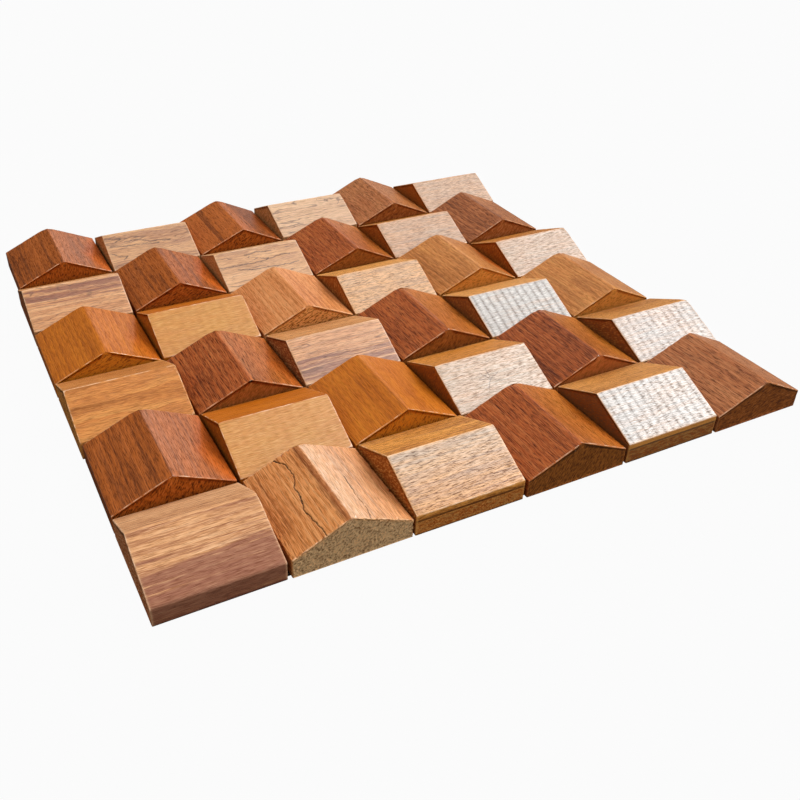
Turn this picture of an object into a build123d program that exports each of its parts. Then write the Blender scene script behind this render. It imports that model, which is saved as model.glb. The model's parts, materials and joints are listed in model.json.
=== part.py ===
from build123d import *

import os
from collections import namedtuple
from math import atan, degrees
from random import Random

# A decorative wall panel of gabled hardwood blocks. Each block is square in plan and runs up from
# two low edges to a ridge. Neighbouring blocks are turned by a quarter turn, so the ridges make a
# checkerboard. A thin sheet behind holds them together. The back of the sheet lies on z = 0 with
# its centre at the origin. X runs along the front row, to the right, and Y runs to the back row.

# Driving dimensions, in millimetres
block_side = 48.6       # length and width of a block in plan
joint_gap = 1.4         # open joint between neighbouring blocks
edge_height = 8.2       # low edges of the gable section, above the sheet
ridge_height = 19.2     # crest of the gable section, above the sheet
arris_round = 0.5       # sanded round on the arrises of a block
worn_round = 1.6        # the same on the block that is sanded softer
sheet_thickness = 0.8   # backing sheet
sheet_inset = 2.5       # how far the sheet stops inside the outline of the blocks
thick_strip = 1.3       # extra height of the blocks sawn from a thicker strip
thin_strip = 1.0        # missing height of the blocks sawn from a thinner strip
ridge_off = 1.3         # how far some ridges are sawn off the middle
worn_ridge_off = 3.0    # the same on the block that is sanded softer

# How far each row was laid out of line to the right, from the front row to the back row
row_drift = [0.2, 0.0, -0.4, -0.9, -0.6, 0.9]

# How a block departs from the common section: its height, and its ridge to the back or the right
Cut = namedtuple("Cut", ["rise", "shift", "arris"])
cuts = {
    "c": Cut(0, 0, arris_round),                 # common section
    "h": Cut(thick_strip, 0, arris_round),       # high, from a thick strip
    "l": Cut(-thin_strip, 0, arris_round),       # low, from a thin strip
    "p": Cut(0, ridge_off, arris_round),         # ridge past the middle
    "s": Cut(0, -ridge_off, arris_round),        # ridge short of the middle
    "w": Cut(0, worn_ridge_off, worn_round),     # worn soft, in the front left corner
}

# The panel as it is seen from the front: the back row is the first line
cut_plan = [
    "ccphcs",
    "cccpcs",
    "lccspc",
    "clsccc",
    "cccccc",
    "wshchp",
]

# Places of the blocks, which were laid by hand within a small play of the joint
rows = len(cut_plan)
columns = len(cut_plan[0])
pitch = block_side + joint_gap
laying_play = joint_gap / 7
laying_turn = degrees(atan(laying_play / block_side))
hand = Random(36)


def block_plane(row, column):
    """Plane of a block's section: its X across the ridge, its Y up and its Z along the ridge."""
    slip_x = hand.uniform(-laying_play, laying_play)
    slip_y = hand.uniform(-laying_play, laying_play)
    turn = hand.uniform(-laying_turn, laying_turn)
    place_x = (column - (columns - 1) / 2) * pitch + row_drift[row] + slip_x
    place_y = (row - (rows - 1) / 2) * pitch + slip_y
    ridge_runs_across = (row + column) % 2 == 0
    across = Vector(0, 1, 0) if ridge_runs_across else Vector(1, 0, 0)
    along = across.cross(Vector(0, 0, 1))
    return Plane(
        origin=(place_x, place_y, sheet_thickness),
        x_dir=across.rotate(Axis.Z, turn),
        z_dir=along.rotate(Axis.Z, turn),
    )


os.makedirs("parts", exist_ok=True)

# Gabled blocks
half_side = block_side / 2
for row in range(rows):
    for column in range(columns):
        cut = cuts[cut_plan[rows - 1 - row][column]]
        low_edge = edge_height + cut.rise
        crest = ridge_height + cut.rise
        with BuildPart() as block:
            with BuildSketch(block_plane(row, column)):
                with BuildLine():
                    Polyline(
                        (-half_side, 0),
                        (half_side, 0),
                        (half_side, low_edge),
                        (cut.shift, crest),
                        (-half_side, low_edge),
                        close=True,
                    )
                make_face()
            extrude(amount=half_side, both=True)
            on_sheet = block.faces().sort_by(Axis.Z)[0].edges()
            fillet([edge for edge in block.edges() if edge not in on_sheet], radius=cut.arris)
        name = f"block_row{row + 1}_col{column + 1}"
        block.part.label = name
        export_step(block.part, f"parts/{name}.step")

# Backing sheet
sheet_length = columns * pitch - joint_gap - 2 * sheet_inset
sheet_width = rows * pitch - joint_gap - 2 * sheet_inset
with BuildPart() as backing_sheet:
    with BuildSketch():
        Rectangle(sheet_length, sheet_width)
    extrude(amount=sheet_thickness)
backing_sheet.part.label = "backing_sheet"
export_step(backing_sheet.part, "parts/backing_sheet.step")
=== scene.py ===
"""Dresses the wood mosaic panel: sawn, sanded and oiled hardwood blocks on a thin fleece."""

import json
import logging
import math
from dataclasses import dataclass, field
from enum import Enum
from random import Random
from typing import Any, Sequence

import bpy
import numpy as np
from mathutils import Matrix, Vector, noise


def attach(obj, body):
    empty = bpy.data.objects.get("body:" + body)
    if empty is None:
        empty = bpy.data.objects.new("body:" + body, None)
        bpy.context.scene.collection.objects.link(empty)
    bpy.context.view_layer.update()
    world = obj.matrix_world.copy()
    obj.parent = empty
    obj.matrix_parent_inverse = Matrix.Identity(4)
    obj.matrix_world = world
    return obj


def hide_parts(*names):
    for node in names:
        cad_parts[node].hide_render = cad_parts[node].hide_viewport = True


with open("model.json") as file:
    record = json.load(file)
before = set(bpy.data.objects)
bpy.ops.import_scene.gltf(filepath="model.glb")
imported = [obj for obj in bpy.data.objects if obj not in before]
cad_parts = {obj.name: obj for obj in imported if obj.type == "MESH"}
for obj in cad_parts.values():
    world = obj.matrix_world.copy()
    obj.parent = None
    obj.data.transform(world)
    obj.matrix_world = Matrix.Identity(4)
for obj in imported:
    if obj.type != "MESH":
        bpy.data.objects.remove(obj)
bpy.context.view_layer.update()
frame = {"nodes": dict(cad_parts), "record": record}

LOG = logging.getLogger("panel")
MM = 0.001
ROWS = 6
COLUMNS = 6
UP = Vector((0.0, 0.0, 1.0))


def linear(hex_colour: str) -> tuple[float, float, float, float]:
    """Turns an sRGB hex colour into a linear one.

    Args:
        hex_colour: six hex digits, such as "C6782A".

    Returns:
        Linear red, green and blue, with an alpha of one.
    """
    parts = [int(hex_colour[i:i + 2], 16) / 255 for i in (0, 2, 4)]
    red, green, blue = (c / 12.92 if c <= 0.04045 else ((c + 0.055) / 1.055) ** 2.4 for c in parts)
    return red, green, blue, 1.0


def smooth(value: float, low: float, high: float) -> float:
    """Eases from 0 at low to 1 at high."""
    share = min(1.0, max(0.0, (value - low) / (high - low)))
    return share * share * (3 - 2 * share)


class Graph:
    """The node tree of one material or world, filled node by node."""

    def __init__(self, owner: bpy.types.Material | bpy.types.World) -> None:
        """Empties the owner's node tree."""
        owner.use_nodes = True
        self.tree = owner.node_tree
        self.tree.nodes.clear()

    def add(
        self,
        kind: str,
        inputs: dict[str | int, Any],
        out: str | int = 0,
        stops: Sequence[tuple[float, str]] = (),
        **settings: Any,
    ) -> bpy.types.NodeSocket | None:
        """Adds a node with its settings and links.

        Args:
            kind: the node's type without its "ShaderNode" prefix.
            inputs: a value or an output socket for each input, by name or number.
            out: name or number of the output that is handed back.
            stops: places and hex colours, for a colour ramp.
            settings: the node's own properties.

        Returns:
            The chosen output socket, or nothing for a node without outputs.
        """
        node = self.tree.nodes.new("ShaderNode" + kind)
        for key, value in settings.items():
            setattr(node, key, value)
        if stops:
            elements = node.color_ramp.elements
            while len(elements) < len(stops):
                elements.new(0.5)
            for element, (place, colour) in zip(elements, stops):
                element.position = place
                element.color = linear(colour)
        for key, value in inputs.items():
            if isinstance(value, bpy.types.NodeSocket):
                self.tree.links.new(value, node.inputs[key])
            else:
                node.inputs[key].default_value = value
        return node.outputs[out] if node.outputs else None


Socket = bpy.types.NodeSocket
Size = tuple[float, ...]


@dataclass(frozen=True)
class Gloss:
    """How a sanded face shines: through its pores, and from the varnish over them."""

    name: str
    ior: float
    specular: float
    roughness: float
    coat: float
    coat_roughness: float


# Varnish that lies over closed grain mirrors a little, and varnish that sank into open grain only glares.
# The slopes that face away from the light were wiped with oil alone, and hardly shine.
POLISHED = Gloss("varnished", 1.5, 0.15, 0.5, 0.5, 0.2)
SATIN = Gloss("waxed", 1.5, 0.9, 0.45, 0.1, 0.4)
OPEN = Gloss("varnished_thin", 1.6, 1.0, 0.45, 0.0, 0.4)
DRY = Gloss("varnished_dry", 1.5, 0.7, 0.45, 0.0, 0.4)
OILED = Gloss("oiled", 1.45, 0.2, 0.5, 0.0, 0.4)


@dataclass(frozen=True)
class Figure:
    """The figure of a wood in one node tree, which its sanded and its sawn faces share."""

    grain: Socket
    colour: Socket
    line: Socket
    stroke: Socket
    ripple: Socket
    pore: Socket


@dataclass(frozen=True)
class WoodFinish:
    """Hardwood, sawn to a gable, with its slopes sanded and wiped with oil varnish.

    The figure is a solid one, so that lines run along the ridge and end grain shows as specks. The
    slopes have a satin skin over open pores. Walls and ends are left from the saw: matt and deeper.
    Colours are sRGB hex values and sizes are millimetres.
    """

    name: str
    light: str                          # palest bands
    middle: str                         # bands between
    dark: str                           # deepest bands and the long thin lines
    pore: str                           # open pores
    end: str                            # end grain between its specks
    streak: str                         # stained streaks
    faded_and_glare: str = "C4AE9A"               # slopes facing the light: faded wood with painted glare
    painted_glint: str = "F2E4D4"               # painted glints: flecks between the pores of these slopes
    arris_highlight: str = "F8D4B0"              # painted highlight on the crests of the arrises
    spalt: str = "5A280C"               # fungus lines
    sheen_shadow_orange: str = "CE600C"              # painted sheen shadow: deep orange on low edges where a neighbour hides the sheen
    crumb: str = "B48448"               # dust in the rough part of a layered wall
    crack_shade_and_fungus: str = "34180A"               # painted shade inside a crack, and the colour of fungus lines drawn as cracks
    band_mm: float = 7.0                # width of the broad colour bands
    ring_mm: float = 2.6                # width of a year's growth
    wander_mm: float = 2.5              # how far the fibres wander from a straight line
    band_share: float = 0.34            # how much the broad bands show
    ring_share: float = 0.14            # how much the growth rings show
    stroke_mm: Size = (28.0, 0.5)       # length and width of the long thin lines
    stroke_share: float = 0.35          # how dark these lines are
    pore_mm: Size = (4.5, 0.22)         # length and width of the pores
    pore_share: float = 0.5             # how dark the pores are
    streak_share: float = 0.0           # how much the stained streaks cover
    spalt_share: float = 0.0            # how dark the thin wandering fungus lines are
    saw_share: float = 0.0              # how much the saw's ripple across the grain shows
    speck_mm: Size = (0.8, 0.55, 1.8)   # specks of end grain, coarser than real ones, so that they show
    speck_share: float = 0.7            # how much these specks show
    relief_mm: float = 0.03             # depth of the pores
    gloss: Gloss = SATIN

    # Lengths and widths that all the woods share
    LINE_MM = (40.0, 0.9)
    BAND_LENGTH_MM = 100.0
    WANDER_MM = (60.0, 12.0)
    CLOUD_MM = 18.0
    STREAK_MM = (70.0, 2.2)
    SPALT_MM = (90.0, 5.0)
    CROOK_MM = (12.0, 6.0)
    SAW_MM = 4.3
    ARRIS_HIGHLIGHT_MM = (5.0, 3.0)
    CRUMB_MM = (3.0, 1.0)

    # Noise level that shows the end grain's own colour, and how far from it pores and pale specks are full
    SPECK_MIDDLE = 0.51
    SPECK_REACH = 0.17

    # Where the growth line of a layered wall lies, as a share of the way down
    GROWTH_LINE = 0.3

    def noise(
        self,
        graph: Graph,
        vector: Socket,
        size_mm: Size,
        detail: float,
        out: str = "Fac",
    ) -> Socket:
        """Adds noise that is drawn out along the grain.

        Args:
            graph: the node tree.
            vector: grain coordinates in millimetres.
            size_mm: length and width of the noise's grains.
            detail: how much finer noise is added.
            out: the noise's output.

        Returns:
            The noise's output socket.
        """
        long_mm, wide_mm = size_mm
        grains = (long_mm, wide_mm, wide_mm)
        at = graph.add("VectorMath", {0: vector, 1: grains}, operation="DIVIDE")
        settings = {"Vector": at, "Scale": 1.0, "Detail": detail, "Roughness": 0.6}
        return graph.add("TexNoise", settings, out)

    def figure(self, graph: Graph) -> Figure:
        """Adds the wood's figure to a node tree.

        Args:
            graph: the node tree.

        Returns:
            The sockets that the faces' finishes read.
        """
        add = graph.add
        grain = add("Attribute", {}, "Vector", attribute_name="grain")
        names = ("stain", "pool", "tone", "fade")
        stain, pool, tone, fade = (add("Attribute", {}, "Fac", attribute_name=name) for name in names)

        # The fibres wander a little from a straight line.
        bend = self.noise(graph, grain, self.WANDER_MM, 2.0, "Color")
        bend = add("VectorMath", {0: bend, 1: (0.5, 0.5, 0.5)}, operation="SUBTRACT")
        wander = (0.0, self.wander_mm, self.wander_mm)
        fibre = add("VectorMath", {0: bend, 1: wander, 2: grain}, operation="MULTIPLY_ADD")

        # Broad bands, growth rings, fine lines and soft clouds set the tone.
        band = self.noise(graph, fibre, (self.BAND_LENGTH_MM, self.band_mm), 3.0)
        line = self.noise(graph, fibre, self.LINE_MM, 3.0)
        cloud = self.noise(graph, grain, (self.CLOUD_MM, self.CLOUD_MM), 2.0)
        ring_at = add("VectorMath", {0: fibre, 1: (0.04, 0.3, 1.0)}, operation="MULTIPLY")
        ring = add(
            "TexWave",
            {"Vector": ring_at, "Scale": math.tau / 20 / self.ring_mm, "Distortion": 3.0, "Detail": 2.0},
            "Fac",
            bands_direction="Z",
            wave_profile="SAW",
        )
        value = add("Math", {0: band, 1: self.band_share, 2: tone}, operation="MULTIPLY_ADD")
        value = add("Math", {0: ring, 1: self.ring_share, 2: value}, operation="MULTIPLY_ADD")
        line_share = 0.8 - self.band_share - self.ring_share
        value = add("Math", {0: line, 1: line_share, 2: value}, operation="MULTIPLY_ADD")
        value = add("Math", {0: cloud, 1: 0.2, 2: value}, operation="MULTIPLY_ADD")
        stops = ((0.34, self.dark), (0.5, self.middle), (0.66, self.light))
        colour = add("ValToRGB", {"Fac": value}, stops=stops)

        # Long thin dark lines, as vessels that the saw cut lengthwise.
        stroke = self.noise(graph, fibre, self.stroke_mm, 2.0)
        stroke = add("MapRange", {"Value": stroke, "From Min": 0.54, "From Max": 0.68})
        vessel = add("Math", {0: stroke, 1: self.stroke_share}, operation="MULTIPLY")

        # Stained streaks along the grain, and the heartwood's own stain on some blocks.
        streak = self.noise(graph, fibre, self.STREAK_MM, 4.0)
        streak = add("Math", {0: stain, 1: 0.2, 2: streak}, operation="MULTIPLY_ADD")
        streak = add(
            "MapRange",
            {"Value": streak, "From Min": 0.47, "From Max": 0.64, "To Max": self.streak_share},
            interpolation_type="SMOOTHSTEP",
        )

        # The slope that faces the light has faded a little unevenly; its glare is painted in too.
        fade_glare_share = {"Value": cloud, "From Min": 0.3, "From Max": 0.65, "To Min": 1.1, "To Max": 0.8}
        fade_glare_share = add("MapRange", fade_glare_share)
        thin = {"Value": line, "From Min": 0.3, "From Max": 0.7, "To Min": 1.2, "To Max": 0.75}
        thin = add("MapRange", thin)
        fade_glare_share = add("Math", {0: fade_glare_share, 1: thin}, operation="MULTIPLY")
        fade_glare_share = add("Math", {0: fade_glare_share, 1: fade}, operation="MULTIPLY")

        # Thin dark lines that wander along the grain, round islands of sound wood.
        crook = self.noise(graph, grain, self.CROOK_MM, 2.0, "Color")
        crook = add("VectorMath", {0: crook, 1: (0.0, 3.0, 3.0), 2: fibre}, operation="MULTIPLY_ADD")
        island = self.noise(graph, crook, self.SPALT_MM, 0.0)
        rim = add("Math", {0: island, 1: 0.09}, operation="PINGPONG")
        rim = {"Value": rim, "From Min": 0.002, "From Max": 0.012, "To Min": 1.0, "To Max": 0.0}
        rim = add("MapRange", rim)
        here = {"Value": cloud, "From Min": 0.3, "From Max": 0.42, "To Max": self.spalt_share}
        here = add("MapRange", here)
        spalt = add("Math", {0: rim, 1: here}, operation="MULTIPLY")

        # Each of these lies over the last. Some low edges get a painted orange where a neighbour hides the
        # sheen.
        layers = (
            (vessel, self.dark),
            (streak, self.streak),
            (fade_glare_share, self.faded_and_glare),
            (pool, self.sheen_shadow_orange),
            (spalt, self.spalt),
        )
        for share, over in layers:
            colour = add("Mix", {0: share, 6: colour, 7: linear(over)}, 2, data_type="RGBA")

        # The saw left a ripple across the grain of unsanded slopes, scaled by the fading and painted glare.
        at = add("VectorMath", {0: fibre, 1: (1.0, 0.1, 0.1)}, operation="MULTIPLY")
        wave = {"Vector": at, "Scale": math.tau / 20 / self.SAW_MM, "Distortion": 1.2, "Detail": 2.0}
        ripple = add("TexWave", wave, "Fac")
        ripple = add("Math", {0: ripple, 1: 0.5}, operation="SUBTRACT")
        ripple = add("Math", {0: ripple, 1: fade}, operation="MULTIPLY")

        # Open pores: short thin dark dashes along the grain and dots on the end grain, with pale flecks
        # between them, which are painted glints on the slope that faces the light. Pores gather in the
        # troughs of the ripple, and flecks on its crests.
        mottle = self.noise(graph, fibre, self.pore_mm, 1.0)
        mottle = add("Math", {0: ripple, 1: -0.1 * self.saw_share, 2: mottle}, operation="MULTIPLY_ADD")
        fleck_colour_and_glint = add("Mix", {0: fade, 6: linear(self.light), 7: linear(self.painted_glint)}, 2, data_type="RGBA")
        fleck_and_glint = add("MapRange", {"Value": mottle, "From Min": 0.46, "From Max": 0.32, "To Max": 0.6})
        calm = add("Math", {0: streak, 1: -0.8, 2: 1.0}, operation="MULTIPLY_ADD")
        fleck_and_glint = add("Math", {0: fleck_and_glint, 1: calm}, operation="MULTIPLY")
        colour = add("Mix", {0: fleck_and_glint, 6: colour, 7: fleck_colour_and_glint}, 2, data_type="RGBA")
        pore = add("MapRange", {"Value": mottle, "From Min": 0.53, "From Max": 0.63})
        dark = add("Math", {0: pore, 1: self.pore_share}, operation="MULTIPLY")
        colour = add("Mix", {0: dark, 6: colour, 7: linear(self.pore)}, 2, data_type="RGBA")
        return Figure(grain, colour, line, stroke, ripple, pore)

    def sanded(self, gloss: Gloss) -> bpy.types.Material:
        """Builds the finish of the slopes: a skin broken by pores, rubbed pale on the arrises, with painted
        highlights.

        Args:
            gloss: how the slopes shine.

        Returns:
            The new material, which reads the block's own wood coordinates.
        """
        made = bpy.data.materials.new(f"{self.name}_sanded_{gloss.name}")
        graph = Graph(made)
        add = graph.add
        figure = self.figure(graph)
        names = ("arris", "crack")
        arris, crack = (add("Attribute", {}, "Fac", attribute_name=name) for name in names)
        # The arrises are rubbed pale with a painted highlight; their crests get a brighter, broken one.
        wear_and_highlight = add("Math", {0: arris, 1: 3.0}, operation="POWER")
        wear_and_highlight = add("Math", {0: wear_and_highlight, 1: 0.3}, operation="MULTIPLY")
        arris_highlight_share = self.noise(graph, figure.grain, self.ARRIS_HIGHLIGHT_MM, 2.0)
        arris_highlight_share = add("MapRange", {"Value": arris_highlight_share, "From Min": 0.4, "From Max": 0.62, "To Max": 0.65})
        crest = add("MapRange", {"Value": arris, "From Min": 0.88, "From Max": 1.0})
        arris_highlight_share = add("Math", {0: arris_highlight_share, 1: crest}, operation="MULTIPLY")

        # The troughs of the saw's ripple are darker.
        deep = 0.5 * self.saw_share
        trough = {"Value": figure.ripple, "From Min": -0.34, "From Max": -0.48, "To Max": deep}
        trough = add("MapRange", trough)
        broken = add("MapRange", {"Value": figure.line, "From Min": 0.42, "From Max": 0.56, "To Min": 0.5})
        trough = add("Math", {0: trough, 1: broken}, operation="MULTIPLY")
        # Wear and painted highlights on arrises, painted shade in cracks, dark fungus lines, darker
        # troughs.
        layers = ((wear_and_highlight, self.light), (arris_highlight_share, self.arris_highlight), (crack, self.crack_shade_and_fungus), (trough, self.pore))
        colour = figure.colour
        for share, over in layers:
            colour = add("Mix", {0: share, 6: colour, 7: linear(over)}, 2, data_type="RGBA")
        ripple = add("Math", {0: figure.ripple, 1: 0.8 * self.saw_share}, operation="MULTIPLY")
        height = add("Math", {0: figure.line, 1: 0.25, 2: ripple}, operation="MULTIPLY_ADD")
        height = add("Math", {0: figure.stroke, 1: -0.3, 2: height}, operation="MULTIPLY_ADD")
        height = add("Math", {0: figure.pore, 1: -1.0, 2: height}, operation="MULTIPLY_ADD")
        normal = add("Bump", {"Height": height, "Strength": 1.0, "Distance": self.relief_mm * MM})
        dull = add("Math", {0: figure.pore, 1: 0.4, 2: gloss.roughness}, operation="MULTIPLY_ADD")
        shader = add(
            "BsdfPrincipled",
            {
                "Base Color": colour,
                "Roughness": dull,
                "Normal": normal,
                "IOR": gloss.ior,
                "Specular IOR Level": gloss.specular,
                "Coat Weight": gloss.coat,
                "Coat Roughness": gloss.coat_roughness,
                "Coat Normal": normal,
            },
        )
        add("OutputMaterial", {"Surface": shader})
        return made

    def sawn(self) -> bpy.types.Material:
        """Builds the finish of walls and ends: matt, with specks where the fibres are cut across.

        Returns:
            The new material, which reads the block's own wood coordinates.
        """
        made = bpy.data.materials.new(self.name + "_left_from_the_saw")
        graph = Graph(made)
        add = graph.add
        figure = self.figure(graph)
        names = ("end_grain", "arris", "drop", "dry")
        end, arris, drop, dry = (add("Attribute", {}, "Fac", attribute_name=name) for name in names)

        # End grain drinks the oil: deep in colour, with pale specks between the pores.
        at = add("VectorMath", {0: figure.grain, 1: self.speck_mm}, operation="DIVIDE")
        speck = add("TexNoise", {"Vector": at, "Scale": 1.0, "Detail": 3.0, "Roughness": 0.6}, "Fac")
        # The deeper end tone on the outer ends of the front row and left column is painted shade.
        speck = add("Math", {0: speck, 1: dry}, operation="ADD")
        middle, reach = self.SPECK_MIDDLE, self.SPECK_REACH / self.speck_share
        stops = ((middle - reach, self.pore), (middle, self.end), (middle + reach, self.light))
        cut = add("ValToRGB", {"Fac": speck}, stops=stops)
        soak = add("Math", {0: end, 1: 0.85}, operation="MULTIPLY")
        plain = add("Math", {0: drop, 1: 0.01}, operation="LESS_THAN")
        plain = add("Math", {0: plain, 1: 0.35}, operation="MULTIPLY")
        wall = add("Mix", {0: plain, 6: figure.colour, 7: linear(self.pore)}, 2, data_type="RGBA")
        colour = add("Mix", {0: soak, 6: wall, 7: cut}, 2, data_type="RGBA")

        # On layered walls a dark growth line lies under a plain band, over rough speckled wood.
        band = add("Math", {0: drop, 1: 0.01}, operation="GREATER_THAN")
        band = add("Math", {0: band, 1: 0.8 * self.saw_share}, operation="MULTIPLY")
        colour = add("Mix", {0: band, 6: colour, 7: linear(self.middle)}, 2, data_type="RGBA")
        crumb = self.noise(graph, figure.grain, self.CRUMB_MM, 2.0)
        crumb = add("MapRange", {"Value": crumb, "From Min": 0.45, "From Max": 0.62, "To Max": 0.55})
        dusty = add("Mix", {0: crumb, 6: cut, 7: linear(self.crumb)}, 2, data_type="RGBA")
        rough = {"Value": drop, "From Min": self.GROWTH_LINE, "From Max": self.GROWTH_LINE + 0.1}
        rough = add("MapRange", rough)
        rough = add("Math", {0: rough, 1: 0.85}, operation="MULTIPLY")
        colour = add("Mix", {0: rough, 6: colour, 7: dusty}, 2, data_type="RGBA")
        line = add("Math", {0: drop, 1: self.GROWTH_LINE, 2: 0.05}, operation="COMPARE")
        line = add("Math", {0: line, 1: 0.8}, operation="MULTIPLY")
        # Arrises are rubbed pale, with a painted highlight.
        wear_and_highlight = add("Math", {0: arris, 1: 3.0}, operation="POWER")
        wear_and_highlight = add("Math", {0: wear_and_highlight, 1: 0.4}, operation="MULTIPLY")
        for share, over in ((line, self.pore), (wear_and_highlight, self.light)):
            colour = add("Mix", {0: share, 6: colour, 7: linear(over)}, 2, data_type="RGBA")

        height = add("Math", {0: speck, 1: end}, operation="MULTIPLY")
        height = add("Math", {0: figure.pore, 1: -0.5, 2: height}, operation="MULTIPLY_ADD")
        normal = add("Bump", {"Height": height, "Strength": 1.0, "Distance": 0.12 * MM})
        shader = add(
            "BsdfPrincipled",
            {
                "Base Color": colour,
                "Roughness": 0.8,
                "Normal": normal,
                "IOR": 1.5,
                "Specular IOR Level": 0.12,
            },
        )
        add("OutputMaterial", {"Surface": shader})
        return made


class Wood(Enum):
    """The finishes of the blocks, under the letters of the panel's plan."""

    RED = "r"
    DUSKY = "d"
    BROWN = "b"
    ROSE = "o"
    AMBER = "a"
    HONEY = "h"
    FIGURED = "f"
    CRACKED = "c"
    TAN = "t"
    STRAW = "w"
    SAWN = "s"
    STREAKED = "m"
    MAUVE = "v"
    SPALTED = "k"


FINISHES: dict[Wood, WoodFinish] = {
    # Heartwood, sanded close: red to brown, and deep under varnish that mirrors a little.
    Wood.RED: WoodFinish(
        "red_brown_teak", "C27038", "AE541E", "6E300E", "3A1602", "94581E", "4A1E10",
        "D27C16", "DC9048",
        band_share=0.28, wander_mm=1.5, stroke_share=0.75, pore_share=0.75, gloss=POLISHED,
    ),
    Wood.DUSKY: WoodFinish(
        "red_brown_teak_dusky", "C27C4A", "AE6232", "6E3A1A", "3C1606", "96521A", "4A1E10",
        "D27C16", "DC9048",
        band_share=0.28, wander_mm=1.5, stroke_share=0.75, pore_share=0.75, gloss=POLISHED,
    ),
    Wood.BROWN: WoodFinish(
        "brown_teak_heartwood", "C0682A", "A95616", "7A3A0C", "381400", "A85614", "4A2210",
        "C88460", "DCA07C",
        stroke_share=0.6, pore_share=0.6, streak_share=0.5, speck_share=1.0, gloss=POLISHED,
    ),
    # Golden wood between heart and bark: warm and even, with soft bands.
    Wood.ROSE: WoodFinish(
        "rose_brown_teak", "E4A064", "DA894C", "B0622A", "6A3212", "E4A054", "6A3420",
        pore_share=0.4, speck_share=1.2, gloss=POLISHED,
    ),
    Wood.AMBER: WoodFinish(
        "amber_teak", "D27C1A", "C46A10", "A05006", "703604", "CC7E22", "8A4C18",
        band_share=0.3, stroke_share=0.4, pore_share=0.45, speck_share=1.0, gloss=POLISHED,
    ),
    Wood.HONEY: WoodFinish(
        "honey_teak", "CC7412", "BE640A", "9A4E06", "7A420A", "94500E", "8A4C18",
        "D08E2A", "E8C078",
        band_share=0.3, stroke_share=0.4, pore_share=0.35, saw_share=0.4, relief_mm=0.02,
    ),
    Wood.FIGURED: WoodFinish(
        "figured_golden_teak", "DC9850", "CA7E3E", "9C5A20", "62340C", "DA903C", "7A4018",
        band_mm=10.0, wander_mm=5.0, band_share=0.42, pore_share=0.45, streak_share=0.3, gloss=POLISHED,
    ),
    # Wood that dried in the sun: pale along the ridge, partly painted sheen, streaked where it drank the
    # oil.
    Wood.CRACKED: WoodFinish(
        "orange_teak_weathered", "E8A466", "D88644", "86400F", "54300E", "D8B484", "7A3A12", "E8C09C",
        speck_mm=(0.8, 0.7, 0.9), speck_share=0.7,
        stroke_mm=(12.0, 0.4), stroke_share=0.6, pore_share=0.4, streak_share=0.6, gloss=POLISHED,
    ),
    # Outer wood with open pores: faded, with its white glare partly painted in. One was left from the saw.
    Wood.TAN: WoodFinish(
        "tan_teak_open_pored", "DA8C38", "C67A24", "92501A", "50280C", "9C4A0C", "8A5C48", "C0AC94",
        stroke_share=0.3, pore_mm=(3.2, 0.2), pore_share=0.65, streak_share=0.3,
        speck_share=0.5, gloss=OPEN,
    ),
    Wood.STRAW: WoodFinish(
        "straw_teak_open_pored", "F2AC5C", "DE9440", "A25B1E", "50280C", "9C4A0C", "8A5C48", "CCBCA6",
        stroke_share=0.3, pore_mm=(3.2, 0.2), pore_share=0.75, streak_share=0.3,
        speck_share=0.5, gloss=DRY,
    ),
    Wood.SAWN: WoodFinish(
        "tan_teak_rough_sawn", "DE9A50", "D08A40", "985A28", "543E2C", "8E420C", "8A5C48",
        "BEB8B2", "F6F2EE",
        wander_mm=1.0, stroke_share=0.25, pore_mm=(2.6, 0.15), pore_share=0.65, saw_share=0.7,
        speck_share=0.5, relief_mm=0.012, gloss=DRY,
    ),
    # Stained wood: mauve streaks from the heart, or dark fungus lines in pale wood.
    Wood.STREAKED: WoodFinish(
        "tan_teak_mauve_streaked", "E2A870", "CE884A", "9C6436", "4A1E0C", "984E1A", "7C3826",
        wander_mm=4.0, pore_share=0.45, streak_share=0.75, spalt_share=0.6, gloss=OPEN,
    ),
    Wood.MAUVE: WoodFinish(
        "tan_teak_mauve_hearted", "E8B88C", "D49A68", "9E6646", "521E00", "A85A20", "8C5644",
        stroke_share=0.4, pore_share=0.4, streak_share=0.85, gloss=OILED,
    ),
    Wood.SPALTED: WoodFinish(
        "tan_teak_spalted", "E6B47E", "D69C64", "A86E42", "2A1408", "C47A3C", "8A5A42",
        wander_mm=5.0, stroke_share=0.2, pore_share=0.25, streak_share=0.12, spalt_share=0.75, gloss=OPEN,
    ),
}

# The woods as the panel is seen from the front: the back row is the first line.
WOOD_PLAN = (
    "bkbkdt",
    "mbkrtd",
    "ahowft",
    "frmrsf",
    "bhatrs",
    "vcwrsd",
)


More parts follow.
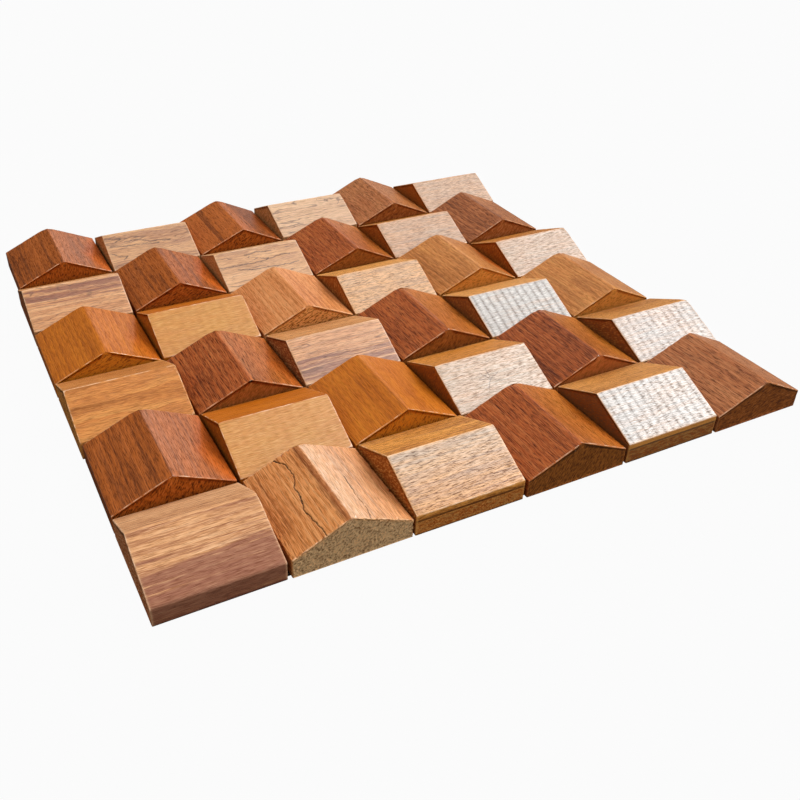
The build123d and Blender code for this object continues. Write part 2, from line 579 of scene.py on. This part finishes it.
@dataclass(frozen=True)
class GableShape:
    """Place and section of one block, read from its CAD solid, in millimetres."""

    centre: Vector
    along: Vector
    across: Vector
    half_length: float
    half_width: float
    low_first: float
    low_second: float
    ridge_height: float
    ridge_shift: float

    @classmethod
    def from_solid(cls, solid: bpy.types.Object) -> "GableShape":
        """Reads the shape from the planes of a block's solid.

        Args:
            solid: the block's CAD object, which stands in the panel's frame.

        Returns:
            The block's place and section.
        """
        slopes = sorted(
            (face for face in solid.data.polygons if 0.7 < face.normal.z < 0.97),
            key=lambda face: face.area,
        )
        first = slopes[-1]
        flat = Vector((first.normal.x, first.normal.y, 0.0))
        second = [face for face in slopes if face.normal.dot(flat) < 0][-1]
        along = first.normal.cross(second.normal).normalized()
        if along.x + along.y < 0:
            along = -along
        across = UP.cross(along)
        points = [vertex.co / MM for vertex in solid.data.vertices]
        ends = [point.dot(along) for point in points]
        sides = [point.dot(across) for point in points]
        foot = min(point.z for point in points)
        middle = along * (max(ends) + min(ends)) / 2 + across * (max(sides) + min(sides)) / 2
        centre = Vector((middle.x, middle.y, foot))
        half_width = (max(sides) - min(sides)) / 2

        def line(face: bpy.types.MeshPolygon) -> tuple[float, float]:
            """Slope and height of a face over the middle of the section."""
            point = face.center / MM - centre
            rise = -face.normal.dot(across) / face.normal.z
            return rise, point.z - rise * point.dot(across)

        rising, falling = sorted((line(first), line(second)), reverse=True)
        shift = (falling[1] - rising[1]) / (rising[0] - falling[0])
        return cls(
            centre,
            along,
            across,
            (max(ends) - min(ends)) / 2,
            half_width,
            rising[1] - rising[0] * half_width,
            falling[1] + falling[0] * half_width,
            rising[1] + rising[0] * shift,
            shift,
        )

    @property
    def runs_back(self) -> bool:
        """Whether the ridge runs from the front to the back."""
        return self.along.y > 0.5

    def to_frame(self, local: np.ndarray) -> np.ndarray:
        """Moves points from (along, across, up) in millimetres to the panel's frame in metres."""
        axes = np.array([self.along, self.across, UP])
        return (local @ axes + np.array(self.centre)) * MM


@dataclass(frozen=True)
class Crack:
    """An open drying crack on one slope, as points (share along the block, share up the slope)."""

    left_slope: bool
    points: tuple[tuple[float, float], ...]
    width_mm: float = 0.24
    depth_mm: float = 0.5
    dark: float = 1.0


@dataclass(frozen=True)
class Stain:
    """A stained band across a block: where it starts and stops, and how softly, in millimetres."""

    first_mm: float
    last_mm: float
    soft_mm: float


@dataclass(frozen=True)
class Marks:
    """What one block has of its own, apart from its wood."""

    tone: float = 0.0                    # paler above zero, deeper below
    arrises_mm: Size = (0.5, 0.5, 0.5)   # rounds of low edge, ridge, low edge
    step_mm: float = 0.95                # size of the mesh's faces
    nick_mm: float = 0.1                 # depth of the nicks on arrises
    nick_length_mm: float = 2.6          # length of these nicks
    tear_mm: float = 0.12                # depth of the torn end grain
    dry: float = 0.0                     # ends paler above zero, deeper below; deeper outer ends are painted shade
    wear_and_highlight: float = 1.0                    # how pale low edges and ridge are rubbed, with a painted highlight
    layered: bool = False                # walls with a growth line
    fade: Size = (0.0, 0.0)              # fading and painted glare of front or right slope: ridge, low edge
    pool: float = 0.0                    # painted sheen shadow: how orange the right low edge is
    cracks: tuple[Crack, ...] = ()
    stains: tuple[Stain, ...] = ()


class Face(Enum):
    """What a face of a block is."""

    SLOPE = 0
    WALL = 1
    END = 2


@dataclass(frozen=True)
class SectionPoint:
    """A point of a block's section."""

    place: Vector     # across and up
    normal: Vector    # outward
    near: float       # nearness to an arris, from 0 to 1
    drop: float       # share of the way down a wall
    kind: Face        # the face that starts here


@dataclass
class Skin:
    """Points and faces of one block, gathered step by step."""

    places: list[Vector] = field(default_factory=list)
    normals: list[Vector] = field(default_factory=list)
    near: list[float] = field(default_factory=list)
    drop: list[float] = field(default_factory=list)
    faces: list[tuple[int, ...]] = field(default_factory=list)
    kinds: list[Face] = field(default_factory=list)

    def point(self, place: Sequence[float], normal: Sequence[float], near: float, drop: float) -> int:
        """Adds a point (along, across, up) and returns its number."""
        self.places.append(Vector(place))
        self.normals.append(Vector(normal))
        self.near.append(near)
        self.drop.append(drop)
        return len(self.places) - 1

    def face(self, corners: Sequence[int], kind: Face) -> None:
        """Adds a face."""
        self.faces.append(tuple(corners))
        self.kinds.append(kind)


@dataclass
class GableBlock:
    """One gabled block of the panel, with eased arrises, sanding waves, nicks and cracks."""

    row: int
    column: int
    wood: Wood
    marks: Marks
    wave_mm: float = 0.05          # depth of the sanding waves
    wave_length_mm: float = 13.0   # length of these waves
    tear_length_mm: float = 1.3    # length of the tears in the end grain
    edge_mm: float = 1.8           # how far from an arris the wood is rubbed pale and a highlight painted
    end_round_mm: float = 0.44     # round of the arrises at the ends
    tip_mm: float = 1.0            # how much the ends of the ridge are sanded off
    tip_reach_mm: float = 4.5      # how far from its ends

    ARC_STEPS = 4                  # faces round an arris
    SOFT_WEAR = 0.5                # rubbing and painted highlight left on blocks whose ridge runs to the back
    CRISP_TIP = 0.3                # share of tip_mm on the other blocks
    END_TURN = 0.9                 # faces turned further to the end, in radians, are end grain
    SLOPE_SLOT, SAWN_SLOT, BACK_SLOT = range(3)

    def __post_init__(self) -> None:
        """Takes the block's own random numbers."""
        self.name = f"block_row{self.row}_col{self.column}"
        self.chance = Random(self.row * 100 + self.column)
        self.seed = Vector([self.chance.uniform(-50, 50) for _ in range(3)])
        self.shape = GableShape.from_solid(frame["nodes"][self.name])

    def edge(self, distance: float) -> float:
        """Nearness to an arris at a distance in millimetres."""
        return smooth(distance, self.edge_mm, 0.2)

    def outline(self) -> tuple[list[SectionPoint], int]:
        """Draws the section from one foot over the ridge to the other, with round arrises.

        Returns:
            The section's points, and the number of steps up a wall.
        """
        shape, step = self.shape, self.marks.step_mm
        width = shape.half_width
        corners = [
            Vector((-width, 0.0)),
            Vector((-width, shape.low_first)),
            Vector((shape.ridge_shift, shape.ridge_height)),
            Vector((width, shape.low_second)),
            Vector((width, 0.0)),
        ]
        ways = [(second - first).normalized() for first, second in zip(corners, corners[1:])]
        normals = [Vector((-way.y, way.x)) for way in ways]
        wall_steps = max(4, round(shape.low_first / step))
        slope_steps = round((corners[2] - corners[1]).length / step)
        kinds = (Face.WALL, Face.SLOPE, Face.SLOPE, Face.WALL)
        places: list[tuple[Vector, Vector, Face]] = [(corners[0], normals[0], Face.WALL)]
        for index, kind in enumerate(kinds):
            normal, start = normals[index], places[-1][0]
            count = wall_steps if kind is Face.WALL else slope_steps
            stop = corners[-1]
            if index < 3:
                radius, after = self.marks.arrises_mm[index], normals[index + 1]
                heart = corners[index + 1] - (normal + after) * radius / (1 + normal.dot(after))
                stop = heart + normal * radius
            places[-1] = (start, normal, kind)
            places += [(start.lerp(stop, part / count), normal, kind) for part in range(1, count + 1)]
            if index < 3:
                places[-1] = (stop, normal, Face.SLOPE)
                for part in range(1, self.ARC_STEPS + 1):
                    turned = normal.slerp(after, part / self.ARC_STEPS)
                    places.append((heart + turned * radius, turned, Face.SLOPE))
        made = []
        wear_and_highlight = self.marks.wear_and_highlight * (self.SOFT_WEAR if shape.runs_back else 1.0)
        for place, normal, kind in places:
            near = wear_and_highlight * max(self.edge((place - corner).length) for corner in corners[1:4])
            low = shape.low_first if place.x < 0 else shape.low_second
            drop = 1 - place.y / low if abs(normal.x) > 0.999 else 0.0
            made.append(SectionPoint(place, normal, near, drop, kind))
        return made, wall_steps

    def stations(self) -> list[tuple[float, float, float]]:
        """Places the sections along the block.

        Returns:
            For each section its place along the ridge, its inset and the turn of its normal to the end.
        """
        radius = self.end_round_mm
        inner = self.shape.half_length - radius
        ends = []
        for part in range(self.ARC_STEPS, 0, -1):
            turn = part / self.ARC_STEPS * math.pi / 2
            ends.append((inner + radius * math.sin(turn), radius * (1 - math.cos(turn)), turn))
        count = round(2 * inner / self.marks.step_mm)
        middle = [(inner * (2 * part / count - 1), 0.0, 0.0) for part in range(count + 1)]
        first = [(-place, inset, -turn) for place, inset, turn in ends]
        return first + middle + ends[::-1]

    def relief(self, place: Vector, normal: Vector, near: float) -> float:
        """How deep the surface lies under the true section at one point.

        Args:
            place: the point (along, across, up) in millimetres.
            normal: the way that the surface faces there.
            near: nearness to an arris, from 0 to 1.

        Returns:
            The depth in millimetres, which is never negative, so the block stays inside its solid.
        """
        seed, shape = self.seed, self.shape
        wave = 0.5 + 0.5 * noise.noise(place / self.wave_length_mm + seed)
        depth = self.wave_mm * wave * (1 - near)
        bite = smooth(noise.noise(place / self.marks.nick_length_mm + seed * 2), 0.1, 0.6)
        depth += near * bite * self.marks.nick_mm
        # The ends of the ridge are sanded soft, each block's a little differently.
        tip = Vector((math.copysign(shape.half_length, place.x), shape.ridge_shift, shape.ridge_height))
        soft = 0.65 + 0.6 * noise.noise(Vector((tip.x, 7.0, 7.0)) + seed)
        soft *= 1 if shape.runs_back else self.CRISP_TIP
        depth += self.tip_mm * soft * (1 - smooth((place - tip).length, 0.0, self.tip_reach_mm))
        if abs(normal.x) > 0.99:
            depth += self.marks.tear_mm * (1 - near) * abs(noise.noise(place / self.tear_length_mm + seed))
        return depth

    def crack(self, place: Vector) -> tuple[float, float]:
        """Depth and darkness of the nearest crack at a point on a slope.

        Args:
            place: the point (along, across, up) in millimetres.

        Returns:
            The crack's depth in millimetres, and its darkness from 0 to 1.
        """
        shape = self.shape
        side = place.y - shape.ridge_shift
        run = shape.half_width - math.copysign(shape.ridge_shift, side)
        wander = 0.5 * noise.noise(place / 2.7) + 0.25 * noise.noise(place / 0.9)
        here = Vector((place.x, abs(side) + wander))
        deep = dark = 0.0
        for crack in self.marks.cracks:
            if crack.left_slope != (side > 0):
                continue
            path = [Vector(((2 * u - 1) * shape.half_length, (1 - v) * run)) for u, v in crack.points]
            for first, second in zip(path, path[1:]):
                leg = second - first
                share = min(1.0, max(0.0, (here - first).dot(leg) / leg.length_squared))
                off = (here - first - leg * share).length / crack.width_mm
                near = 1 - smooth(off, 0.3, 1.2)
                deep = max(deep, near * crack.depth_mm)
                dark = max(dark, near * crack.dark)
        return deep, dark

    def skin(self) -> Skin:
        """Stretches the block's surface over its sections, with both ends and the foot closed.

        Returns:
            The points and faces, before any relief.
        """
        section, wall_steps = self.outline()
        stations = self.stations()
        count = len(section)
        made = Skin()
        for place, inset, turn in stations:
            to_end = self.edge(self.shape.half_length - abs(place))
            for point in section:
                across, up = point.place - point.normal * inset
                flat = point.normal * math.cos(turn)
                near = max(point.near, to_end)
                made.point((place, across, up), (math.sin(turn), *flat), near, point.drop)
        for j, (first, second) in enumerate(zip(stations, stations[1:])):
            at_end = abs(first[2] + second[2]) / 2 > self.END_TURN
            for i in range(count - 1):
                corner = j * count + i
                kind = Face.END if at_end else section[i].kind
                made.face((corner, corner + count, corner + count + 1, corner + 1), kind)
        grids = [self.end_grid(made, j * count, count, wall_steps) for j in (0, len(stations) - 1)]
        for grid, turned in zip(grids, (1, -1)):
            for low, high in zip(grid, grid[1:]):
                for i in range(len(low) - 1):
                    made.face((low[i], low[i + 1], high[i + 1], high[i])[::turned], Face.END)
        starts = [j * count for j in range(len(stations))]
        stops = [start + count - 1 for start in starts]
        foot = starts + grids[1][0][1:-1] + stops[::-1] + grids[0][0][1:-1][::-1]
        made.face(foot[::-1], Face.WALL)
        return made

    def end_grid(self, skin: Skin, start: int, count: int, wall_steps: int) -> list[list[int]]:
        """Adds the points of an end face, in a grid that shares the last section's points.

        Args:
            skin: the block's surface, which grows.
            start: number of the section's first point.
            count: points in a section.
            wall_steps: steps up a wall of the section.

        Returns:
            Rows of point numbers, from the foot of the face to its top.
        """
        top = list(range(start + wall_steps, start + count - wall_steps))
        along = skin.places[start].x
        outward = (math.copysign(1.0, along), 0.0, 0.0)
        rows = []
        for k in range(wall_steps):
            row = [start + k]
            for i in top[1:-1]:
                _, across, up = skin.places[i]
                height = up * k / wall_steps
                near = self.edge(up - height)
                row.append(skin.point((along, across, height), outward, near, 0.0))
            rows.append(row + [start + count - 1 - k])
        return rows + [top]

    def build(self) -> bpy.types.Object:
        """Makes the block's mesh with its wood coordinates.

        Returns:
            The new object, in the panel's frame.
        """
        skin = self.skin()
        cracks = np.zeros(len(skin.places))
        moved = []
        for index, (place, normal) in enumerate(zip(skin.places, skin.normals)):
            depth = 0.0
            if place.z > 0.01:
                depth = self.relief(place, normal, skin.near[index])
            if self.marks.cracks and normal.z > 0.5:
                deep, cracks[index] = self.crack(place)
                depth += deep
            moved.append(place - normal * depth)
        mesh = bpy.data.meshes.new(self.name + "_wood")
        mesh.from_pydata(self.shape.to_frame(np.array(moved)).tolist(), [], skin.faces)
        mesh.polygons.foreach_set("use_smooth", [True] * len(skin.faces))
        self.mark(mesh, skin, cracks)
        made = bpy.data.objects.new(self.name + "_wood", mesh)
        bpy.context.scene.collection.objects.link(made)
        return made

    def mark(self, mesh: bpy.types.Mesh, skin: Skin, cracks: np.ndarray) -> None:
        """Writes what the wood finishes read: grain coordinates, arrises, end grain, stains and tone.

        Args:
            mesh: the block's mesh.
            skin: its points and faces before relief.
            cracks: darkness of the cracks at each point.
        """
        local, facing = np.array(skin.places), np.array(skin.normals)
        turned = Matrix.Rotation(self.chance.uniform(0.2, 1.3), 3, "X")
        shift = np.array([self.chance.uniform(-400, 400) for _ in range(3)])
        grain = local @ np.array(turned) + shift
        away = np.clip((self.shape.ridge_shift - local[:, 1]) / self.shape.half_width, 0, 1)
        # The slope that faces the light gets its fading and painted glare, and a painted sheen shadow at
        # its low edge.
        at_ridge, at_edge = self.marks.fade
        faces_light = (facing[:, 1] < -0.1) & (facing[:, 2] > 0.5)
        # The painted sheen shadow reaches up to half the slope, and less far towards its ends.
        off_middle = np.abs(local[:, 0] / self.shape.half_length + 0.2)
        pool = np.clip((away - 0.3 * off_middle - 0.5) / 0.2, 0, 1) * faces_light
        values = {
            "arris": np.array(skin.near),
            "crack": cracks,
            "drop": np.array(skin.drop) * self.marks.layered,
            "stain": np.full(len(local), -1.0 if self.marks.stains else 0.0),
            "tone": np.full(len(local), self.marks.tone),
            "dry": np.full(len(local), self.marks.dry),
            "fade": (at_ridge + (at_edge - at_ridge) * away) * faces_light,
            "pool": pool * self.marks.pool,
        }
        for stain in self.marks.stains:
            inside = np.minimum(local[:, 1] - stain.first_mm, stain.last_mm - local[:, 1])
            values["stain"] = np.maximum(values["stain"], np.clip(2 * inside / stain.soft_mm, -1, 1))
        for name, numbers in values.items():
            mesh.attributes.new(name, "FLOAT", "POINT").data.foreach_set("value", numbers)
        ends = [float(kind is Face.END) for kind in skin.kinds]
        mesh.attributes.new("end_grain", "FLOAT", "FACE").data.foreach_set("value", ends)
        mesh.attributes.new("grain", "FLOAT_VECTOR", "POINT").data.foreach_set("vector", grain.ravel())
        back = (facing[:, 1] > 0.1) & (not self.shape.runs_back)
        chosen = []
        for face, kind in zip(skin.faces, skin.kinds):
            slope = self.BACK_SLOT if all(back[corner] for corner in face) else self.SLOPE_SLOT
            chosen.append(slope if kind is Face.SLOPE else self.SAWN_SLOT)
        mesh.polygons.foreach_set("material_index", chosen)

    def dress(self, made: bpy.types.Object, finishes: Sequence[bpy.types.Material], slot: str) -> None:
        """Gives the block its finishes and its place in the model.

        Args:
            made: the block's object.
            finishes: those of its slopes, of its walls and ends, and of a slope at its back.
            slot: the record's material slot; not used.
        """
        for finish in finishes:
            made.data.materials.append(finish)
        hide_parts(self.name)
        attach(made, "root")


@dataclass
class FleeceSheet:
    """The thin non-woven fleece behind the blocks."""

    node: str = "backing_sheet"
    fibre_mm: float = 1.2

    def dress(self) -> None:
        """Gives the sheet's solid the look of matted dark fibres."""
        made = bpy.data.materials.new("polyester_fleece_needled")
        graph = Graph(made)
        add = graph.add
        # Needled fibres lie in every direction: a soft mottle with no gloss.
        place = add("TexCoord", {}, "Object")
        mat = add("TexNoise", {"Vector": place, "Scale": 1 / (self.fibre_mm * MM), "Detail": 4.0}, "Fac")
        colour = add("ValToRGB", {"Fac": mat}, stops=((0.35, "1A1410"), (0.7, "3A2E26")))
        normal = add("Bump", {"Height": mat, "Distance": 0.2 * MM})
        shader = add("BsdfPrincipled", {"Base Color": colour, "Roughness": 0.9, "Normal": normal})
        add("OutputMaterial", {"Surface": shader})
        slots = frame["nodes"][self.node].data.materials
        slots.clear()
        slots.append(made)


@dataclass
class Studio:
    """A white floor, a key light from the right, a dim room with two soft lights, and the camera.

    The angles of the key light are degrees.
    """

    floor_m: float = 8.0           # side of the floor
    key_azimuth: float = -3.0      # where the key light stands
    key_elevation: float = 45.0
    key_strength: float = 2.5
    key_angle: float = 60.0        # how wide it is for shadows
    glare_angle: float = 10.0      # how wide it is for the glare
    fill: float = 0.72             # light from all round
    bright: float = 0.2            # what gloss sees of the room in front
    dim: float = 0.02              # and behind
    white: float = 0.96            # the floor as the camera sees it
    floor_shine: float = 0.12      # share of that in gloss

    # What shines in varnish alone: direction, cosines of the outer and the inner edge, strength
    PANES = (
        ((0.526, 0.81, 0.259), 0.961, 0.9945, 0.9),
        ((0.3, 0.62, 0.72), 0.92, 0.99, 0.8),
    )

    # Where the photograph was taken from, in millimetres, pixels and radians
    EYE_MM = (-180.8, -360.4, 230.1)
    PICTURE_PX = 800
    FOCAL_PX = 896.9
    CENTRE_PX = (373.5, 403.3)
    SENSOR_MM = 36.0
    PITCH, ROLL, YAW = 2.171, 0.024, 0.489

    def build_floor(self) -> None:
        """Lays a white floor that shows as white and keeps the panel's shadow."""
        half = self.floor_m / 2
        mesh = bpy.data.meshes.new("floor")
        corners = [(-half, -half, 0), (half, -half, 0), (half, half, 0), (-half, half, 0)]
        mesh.from_pydata(corners, [], [(0, 1, 2, 3)])
        floor = bpy.data.objects.new("floor", mesh)
        floor.location.z = -0.02 * MM
        bpy.context.scene.collection.objects.link(floor)
        made = bpy.data.materials.new("floor_white_paper")
        graph = Graph(made)
        add = graph.add
        path = graph.tree.nodes.new("ShaderNodeLightPath").outputs
        seen = add("Math", {0: path["Is Camera Ray"], 1: path["Is Transmission Ray"]}, operation="MAXIMUM")
        gloss = add("Math", {0: path["Is Glossy Ray"], 1: self.floor_shine}, operation="MULTIPLY")
        seen = add("Math", {0: seen, 1: gloss}, operation="MAXIMUM")
        seen = add("Math", {0: seen, 1: self.white}, operation="MULTIPLY")
        paper = add("BsdfDiffuse", {"Color": linear("5C5C5C")})
        glow = add("Emission", {"Color": (1.0, 1.0, 1.0, 1.0), "Strength": 1.0})
        surface = add("MixShader", {0: seen, 1: paper, 2: glow})
        add("OutputMaterial", {"Surface": surface})
        mesh.materials.append(made)

    def build_light(self) -> None:
        """Sets the key light, which is wide for soft shadows and narrow for the glare, and the world."""
        azimuth, elevation = math.radians(self.key_azimuth), math.radians(self.key_elevation)
        level = math.cos(elevation)
        towards = Vector((math.cos(azimuth) * level, math.sin(azimuth) * level, math.sin(elevation)))
        for name, angle in (("key", self.key_angle), ("glare", self.glare_angle)):
            lamp = bpy.data.lights.new(name, "SUN")
            lamp.energy = self.key_strength
            lamp.angle = math.radians(angle)
            light = bpy.data.objects.new(name, lamp)
            light.visible_diffuse = name == "key"
            light.visible_glossy = name == "glare"
            light.rotation_euler = towards.to_track_quat("Z", "Y").to_euler()
            bpy.context.scene.collection.objects.link(light)
        world = bpy.data.worlds.new("pale_room")
        bpy.context.scene.world = world
        graph = Graph(world)
        add = graph.add
        path = graph.tree.nodes.new("ShaderNodeLightPath").outputs
        # The room is dim behind the panel, so gloss that comes from there stays deep in colour.
        place = add("TexCoord", {}, "Generated")
        side = add("VectorMath", {0: place, 1: (0.0, -1.0, 0.0)}, "Value", operation="DOT_PRODUCT")
        room = add(
            "MapRange",
            {"Value": side, "From Min": -0.2, "From Max": 0.4, "To Min": self.dim, "To Max": self.bright},
            interpolation_type="SMOOTHSTEP",
        )
        # A low window behind the panel on the right and a soft light over it put a sheen on some slopes.
        for towards, outer, inner, strength in self.PANES:
            side = add("VectorMath", {0: place, 1: towards}, "Value", operation="DOT_PRODUCT")
            span = {"Value": side, "From Min": outer, "From Max": inner, "To Max": strength}
            pane = add("MapRange", span, interpolation_type="SMOOTHSTEP")
            room = add("Math", {0: room, 1: pane}, operation="ADD")
        gloss = add("Math", {0: path["Is Glossy Ray"], 1: room}, operation="MULTIPLY")
        seen = add("Math", {0: path["Is Camera Ray"], 1: path["Is Transmission Ray"]}, operation="MAXIMUM")
        seen = add("Math", {0: seen, 1: gloss}, operation="MAXIMUM")
        other = add("Math", {0: path["Is Diffuse Ray"], 1: self.fill}, operation="MULTIPLY")
        strength = add("Math", {0: seen, 1: other}, operation="MAXIMUM")
        sky = add("Background", {"Color": (1.0, 1.0, 1.0, 1.0), "Strength": strength})
        add("OutputWorld", {"Surface": sky})

    def build_camera(self) -> None:
        """Stands the camera where the photograph was taken from."""
        lens = bpy.data.cameras.new("camera")
        lens.sensor_width = self.SENSOR_MM
        lens.lens = self.FOCAL_PX / self.PICTURE_PX * self.SENSOR_MM
        half = self.PICTURE_PX / 2
        lens.shift_x = (half - self.CENTRE_PX[0]) / self.PICTURE_PX
        lens.shift_y = (self.CENTRE_PX[1] - half) / self.PICTURE_PX
        lens.clip_start = 0.01
        turn = (
            Matrix.Rotation(self.ROLL, 3, "Z")
            @ Matrix.Rotation(self.PITCH, 3, "X")
            @ Matrix.Rotation(self.YAW, 3, "Z")
        )
        pose = (turn.transposed() @ Matrix.Diagonal((1.0, -1.0, -1.0))).to_4x4()
        pose.translation = Vector(self.EYE_MM) * MM
        camera = bpy.data.objects.new("camera", lens)
        camera.matrix_world = pose
        bpy.context.scene.collection.objects.link(camera)
        bpy.context.scene.camera = camera


def checks(along: float, up: float) -> tuple[Crack, ...]:
    """Runs fine drying checks out from a pin knot on a front slope.

    Args:
        along: the knot's share of the way along the block.
        up: its share of the way up the slope.

    Returns:
        The checks.
    """
    reach = 0.11                             # share of the block's length
    ways = (0.4, 1.5, 2.3, 3.0, 4.0, 5.9)    # directions in radians
    made = []
    for way in ways:
        # A slope is about half as long as the block, so a share of it is twice the share along.
        tip = (along + reach * math.cos(way), up + 2 * reach * math.sin(way))
        made.append(Crack(False, ((along, up), tip), width_mm=0.2, depth_mm=0.08, dark=0.6))
    return tuple(made)


def lines(*paths: tuple[tuple[float, float], ...]) -> tuple[Crack, ...]:
    """Draws fungus lines on a front slope: dark, and hardly lower than the wood around them.

    Args:
        paths: the lines, as points (share along the block, share up the slope).

    Returns:
        The lines, as shallow cracks.
    """
    return tuple(Crack(False, path, width_mm=0.34, depth_mm=0.04, dark=0.85) for path in paths)


def soft(**own: Any) -> Marks:
    """Marks of a block whose ridge runs to the back, which is sanded softer along it."""
    return Marks(arrises_mm=(0.5, 2.2, 0.5), **own)


OWN_MARKS: dict[tuple[int, int], Marks] = {
    (1, 1): Marks(arrises_mm=(1.2, 2.5, 1.0), wear_and_highlight=0.0, stains=(Stain(-60.0, -9.0, 12.0),)),
    (1, 2): Marks(
        arrises_mm=(0.6, 4.0, 0.6),
        fade=(0.8, 0.1),
        dry=-0.03,
        step_mm=0.32,
        nick_mm=1.0,
        nick_length_mm=1.3,
        tear_mm=0.5,
        cracks=(
            Crack(
                True,
                (
                    (0.0, 0.59), (0.1, 0.58), (0.22, 0.55), (0.35, 0.53), (0.49, 0.58),
                    (0.61, 0.6), (0.72, 0.68), (0.87, 0.67), (0.96, 0.57), (1.0, 0.54),
                ),
            ),
            Crack(False, ((0.0, 0.69), (0.1, 0.64), (0.2, 0.65), (0.35, 0.64), (0.55, 0.62)), 0.2, 0.2),
        ),
        stains=(Stain(0.8, 4.5, 2.5),),
    ),
    (1, 3): Marks(tone=-0.03, dry=0.04, layered=True, fade=(0.7, 0.15)),
    (1, 4): soft(dry=-0.06, fade=(0.3, 0.8), pool=0.4),
    (1, 5): Marks(dry=-0.1, layered=True, fade=(0.95, 0.95)),
    (1, 6): soft(tone=0.05, dry=-0.06, fade=(0.3, 0.3)),
    (2, 1): soft(fade=(0.4, 0.1), pool=0.8),
    (2, 2): Marks(fade=(0.75, 0.75)),
    (2, 4): Marks(tone=0.18, dry=-0.1, step_mm=0.32, fade=(0.8, 0.8), cracks=checks(0.46, 0.49)),
    (2, 5): soft(tone=-0.06, dry=0.18, fade=(0.3, 0.75)),
    (2, 6): Marks(tone=-0.04, fade=(0.85, 0.85)),
    (3, 1): Marks(dry=-0.1),
    (3, 2): soft(tone=-0.02, dry=0.06, fade=(0.2, 0.4), pool=0.6),
    (3, 3): Marks(tone=0.04, stains=(Stain(-24.0, -13.0, 12.0),)),
    (3, 4): soft(fade=(0.4, 0.6)),
    (3, 5): Marks(tone=0.2, fade=(1.1, 1.1)),
    (3, 6): soft(tone=0.05),
    (4, 1): soft(tone=-0.04, pool=0.5),
    (4, 2): Marks(dry=0.08, fade=(0.75, 0.75)),
    (4, 4): Marks(tone=0.06, fade=(0.4, 0.4)),
    (4, 5): soft(tone=-0.02, pool=0.8),
    (4, 6): Marks(fade=(0.7, 0.7)),
    (5, 1): Marks(tone=0.05, dry=-0.1, stains=(Stain(-10.0, -1.0, 9.0),)),
    (5, 2): soft(pool=0.9),
    (5, 3): Marks(
        step_mm=0.45,
        cracks=lines(
            ((0.0, 0.62), (0.14, 0.59), (0.3, 0.6), (0.47, 0.6), (0.61, 0.64), (0.75, 0.69), (0.85, 0.67)),
            ((0.2, 0.5), (0.26, 0.47), (0.44, 0.42), (0.56, 0.43), (0.68, 0.41), (0.81, 0.4), (0.92, 0.43)),
            ((0.5, 0.7), (0.55, 0.67), (0.61, 0.64)),
            ((0.34, 0.83), (0.49, 0.86), (0.66, 0.84)),
        ),
    ),
    (5, 4): soft(fade=(0.1, 0.5)),
    (5, 5): Marks(tone=0.03, fade=(0.5, 0.5)),
    (5, 6): soft(tone=-0.03, dry=0.08, fade=(0.3, 0.3)),
    (6, 1): soft(fade=(0.45, 0.2), pool=0.8),
    (6, 2): Marks(
        tone=-0.08,
        step_mm=0.45,
        cracks=lines(
            ((0.07, 0.88), (0.14, 0.83), (0.2, 0.82), (0.26, 0.82)),
            ((0.12, 0.76), (0.17, 0.79), (0.2, 0.82)),
            ((0.22, 0.72), (0.36, 0.75), (0.5, 0.64), (0.74, 0.58)),
            ((0.05, 0.66), (0.2, 0.6), (0.38, 0.6), (0.6, 0.55)),
            ((0.04, 0.45), (0.12, 0.34), (0.2, 0.33), (0.15, 0.25)),
        ),
    ),
    (6, 3): soft(tone=0.12, pool=0.4, stains=(Stain(-40.0, -8.0, 10.0), Stain(8.0, 13.0, 6.0))),
    (6, 4): Marks(tone=0.04, fade=(0.25, 0.25)),
    (6, 5): soft(tone=0.1, fade=(0.3, 0.3)),
    (6, 6): Marks(tone=0.03, fade=(0.55, 0.55)),
}


def main() -> None:
    """Builds the panel piece by piece, then the studio."""
    logging.basicConfig(level=logging.INFO, format="%(message)s")
    scene = bpy.context.scene
    scene.view_settings.view_transform = "Standard"
    finishes = {
        wood: (finish.sanded(finish.gloss), finish.sawn(), finish.sanded(OILED))
        for wood, finish in FINISHES.items()
    }
    slots = {part["node"]: part["material_slot"] for part in frame["record"]["subparts"]}
    for row in range(1, ROWS + 1):
        for column in range(1, COLUMNS + 1):
            wood = Wood(WOOD_PLAN[ROWS - row][column - 1])
            usual = soft() if (row + column) % 2 else Marks()
            block = GableBlock(row, column, wood, OWN_MARKS.get((row, column), usual))
            made = block.build()
            block.dress(made, finishes[wood], slots[block.name])
            LOG.info("%s: %s, %d faces", made.name, wood.name, len(made.data.polygons))
    FleeceSheet().dress()
    LOG.info("backing_sheet dressed")
    studio = Studio()
    studio.build_floor()
    studio.build_light()
    studio.build_camera()


if __name__ == "__main__":
    main()
